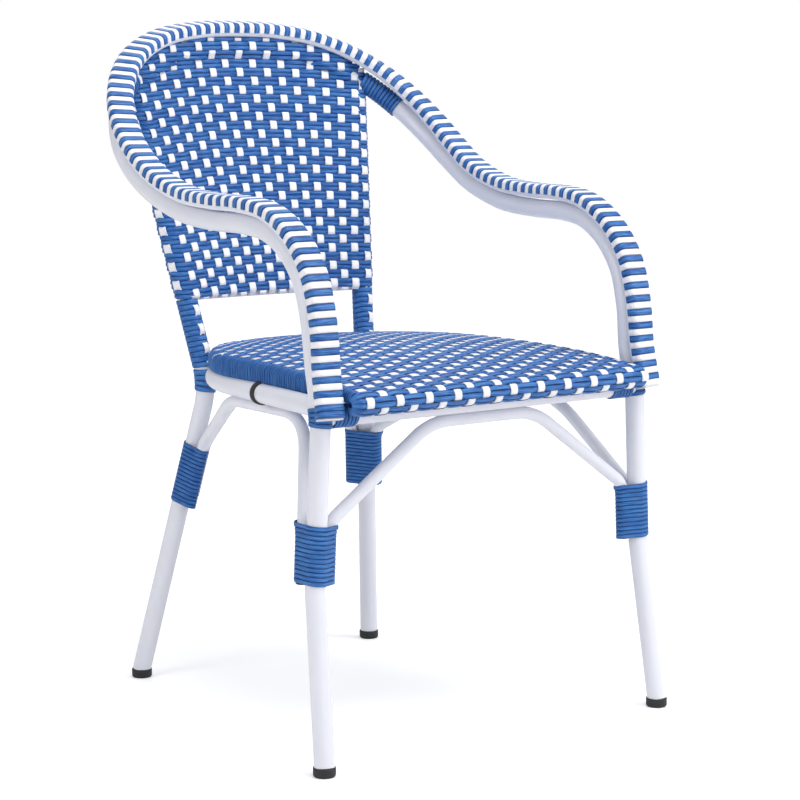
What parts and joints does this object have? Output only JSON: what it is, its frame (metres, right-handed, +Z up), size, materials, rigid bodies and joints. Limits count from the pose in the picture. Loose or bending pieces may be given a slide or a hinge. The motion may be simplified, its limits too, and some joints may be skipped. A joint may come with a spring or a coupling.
{
  "type": "woven bistro armchair",
  "caption": "Stacking armchair with a bent white tube frame, a striped wrapped crest and arms, and a blue and white woven seat and back.",
  "frame": {"origin": "on the floor under the middle of the chair's overall box", "axes": "+X to the right as seen facing the front, +Y from the front edge towards the back, +Z up; the sitter faces -Y"},
  "size_m": [0.564, 0.6275, 0.9006],
  "materials": {
    "white_paint": "smooth white powder coat with a soft sheen",
    "blue_strand": "satin flat strand, royal blue",
    "woven_strand": "satin weave of royal blue strands with white squares",
    "striped_wrap": "satin strand in blue and white stripes across the tube",
    "black_rubber": "dull black rubber"
  },
  "bodies": {
    "root": {"crest_hoop": "white_paint", "hoop_striped_wrap": "striped_wrap", "right_hoop_end_cap": "white_paint", "left_hoop_end_cap": "white_paint", "right_front_leg_and_arm": "white_paint", "left_front_leg_and_arm": "white_paint", "right_rear_leg_and_upright": "white_paint", "left_rear_leg_and_upright": "white_paint", "right_front_foot_cap": "black_rubber", "left_front_foot_cap": "black_rubber", "right_rear_foot_cap": "black_rubber", "left_rear_foot_cap": "black_rubber", "seat_side_rail": "white_paint", "seat_front_rail": "white_paint", "right_rear_tab": "white_paint", "left_rear_tab": "white_paint", "right_rail_bumper": "black_rubber", "left_rail_bumper": "black_rubber", "woven_seat": "woven_strand", "seat_front_rod": "white_paint", "seat_inner_frame": "white_paint", "woven_back": "woven_strand", "back_top_rod": "white_paint", "back_hem_rod": "white_paint", "front_brace": "white_paint", "front_brace_plug_a": "black_rubber", "front_brace_plug_b": "black_rubber", "rear_brace": "white_paint", "rear_brace_plug_a": "black_rubber", "rear_brace_plug_b": "black_rubber", "right_brace": "white_paint", "right_brace_plug_a": "black_rubber", "right_brace_plug_b": "black_rubber", "left_brace": "white_paint", "left_brace_plug_a": "black_rubber", "left_brace_plug_b": "black_rubber", "right_front_leg_binding": "blue_strand", "left_front_leg_binding": "blue_strand", "right_rear_leg_binding": "blue_strand", "left_rear_leg_binding": "blue_strand", "right_corner_binding": "blue_strand", "right_rail_binding": "blue_strand", "right_seat_joint_binding": "blue_strand", "right_upright_binding": "blue_strand", "right_arm_binding": "blue_strand", "left_corner_binding": "blue_strand", "left_rail_binding": "blue_strand", "left_seat_joint_binding": "blue_strand", "left_upright_binding": "blue_strand", "left_arm_binding": "blue_strand"}
  },
  "joints": []
}
